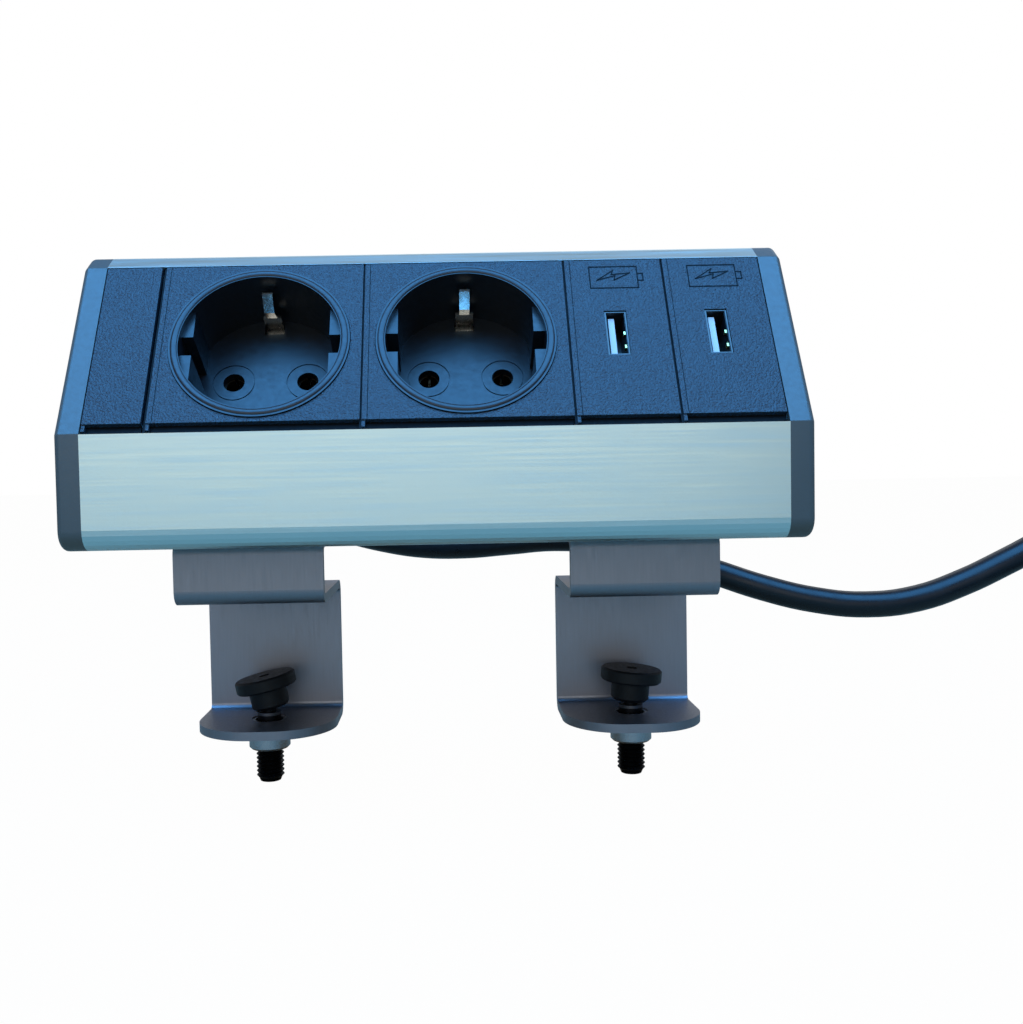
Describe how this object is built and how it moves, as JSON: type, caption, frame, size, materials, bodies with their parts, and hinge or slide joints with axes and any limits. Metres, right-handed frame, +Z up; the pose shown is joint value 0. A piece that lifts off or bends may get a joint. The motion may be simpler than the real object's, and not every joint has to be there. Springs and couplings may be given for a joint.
{
  "type": "desk power strip",
  "caption": "Wedge-shaped power strip with a sloping face of earthed mains sockets and USB chargers, held on a desk edge by bent steel screw clamps, with a coiled cord and plug.",
  "frame": {"origin": "on the desk: X at the middle of the housing, Y on the plane of the back plates that touch the desk top's back edge, Z on the plane of the jaw undersides that rest on the desk top", "axes": "+X to the right along the strip seen from its front, +Y to the back away from the sitter, +Z up"},
  "size_m": [0.4497, 0.1712, 0.1461],
  "materials": {
    "profile": "satin anodised",
    "cap": "semi-gloss black",
    "plate": "fine-textured black",
    "cup": "satin black",
    "earth_clip": "bright plated strip",
    "sleeve": "plain brass",
    "usb_shell": "bright plated",
    "usb_tongue": "white",
    "usb_contact": "gold plated",
    "board": "green board with dark parts",
    "copper": "plain copper strip",
    "terminal": "ivory",
    "inner_screw": "zinc plated",
    "cord": "satin black sheath",
    "relief": "satin black",
    "clamp": "brushed",
    "clamp_nut": "turned",
    "clamp_screw": "black oxide",
    "snap_ring": "spring steel",
    "foot": "black",
    "tie": "woven hook-and-loop",
    "plug": "satin black",
    "pin": "nickel plated"
  },
  "bodies": {
    "housing": {"profile": "profile", "end_cap_left": "cap", "end_cap_right": "cap", "cap_screws": "inner_screw", "blank_plate": "plate", "socket_1_plate": "plate", "socket_1_cup": "cup", "socket_1_earth_clip": "earth_clip", "socket_1_sleeves": "sleeve", "socket_2_plate": "plate", "socket_2_cup": "cup", "socket_2_earth_clip": "earth_clip", "socket_2_sleeves": "sleeve", "usb_1_plate": "plate", "usb_1_shell": "usb_shell", "usb_1_tongue": "usb_tongue", "usb_1_contacts": "usb_contact", "usb_1_board": "board", "usb_2_plate": "plate", "usb_2_shell": "usb_shell", "usb_2_tongue": "usb_tongue", "usb_2_contacts": "usb_contact", "usb_2_board": "board", "live_bar": "copper", "neutral_bar": "copper", "earth_bar": "copper", "terminal_block": "terminal", "terminal_screws": "inner_screw", "cord_grip": "terminal", "cord_grip_screws": "inner_screw", "cord_inner": "cord", "strain_relief": "relief", "clamp_left_bracket": "clamp", "clamp_left_nut": "clamp_nut", "clamp_right_bracket": "clamp", "clamp_right_nut": "clamp_nut", "rail_nuts": "inner_screw", "rail_screws": "inner_screw", "cord": "cord", "cord_coil": "cord", "cord_tie": "tie", "cord_tail": "cord", "plug_body": "plug", "plug_pins": "pin"},
    "left_ring": {"clamp_left_ring": "snap_ring"},
    "left_screw": {"clamp_left_screw": "clamp_screw"},
    "left_foot": {"clamp_left_foot": "foot"},
    "right_ring": {"clamp_right_ring": "snap_ring"},
    "right_screw": {"clamp_right_screw": "clamp_screw"},
    "right_foot": {"clamp_right_foot": "foot"}
  },
  "joints": [
    {"name": "left_lift", "type": "slide", "parent": "housing", "child": "left_ring", "axis": [0, 0, 1], "range_m": [-0.0015, 0.012]},
    {"name": "left_turn", "type": "hinge", "parent": "left_ring", "child": "left_screw", "pos_m": [-0.051, -0.014, -0.0347], "axis": [0, 0, 1], "range_deg": [-433, 3457]},
    {"name": "left_tilt", "type": "hinge", "parent": "left_ring", "child": "left_foot", "pos_m": [-0.051, -0.014, -0.0295], "axis": [0, 1, 0], "range_deg": [-2, 26]},
    {"name": "right_lift", "type": "slide", "parent": "housing", "child": "right_ring", "axis": [0, 0, 1], "range_m": [-0.0015, 0.012]},
    {"name": "right_turn", "type": "hinge", "parent": "right_ring", "child": "right_screw", "pos_m": [0.055, -0.014, -0.0347], "axis": [0, 0, 1], "range_deg": [-433, 3457]},
    {"name": "right_tilt", "type": "hinge", "parent": "right_ring", "child": "right_foot", "pos_m": [0.055, -0.014, -0.0295], "axis": [0, 1, 0], "range_deg": [-19, 9]}
  ],
  "couplings": [
    {"joint": "left_turn", "follows": "left_lift", "rad_per_m": 5026.5},
    {"joint": "right_turn", "follows": "right_lift", "rad_per_m": 5026.5}
  ]
}
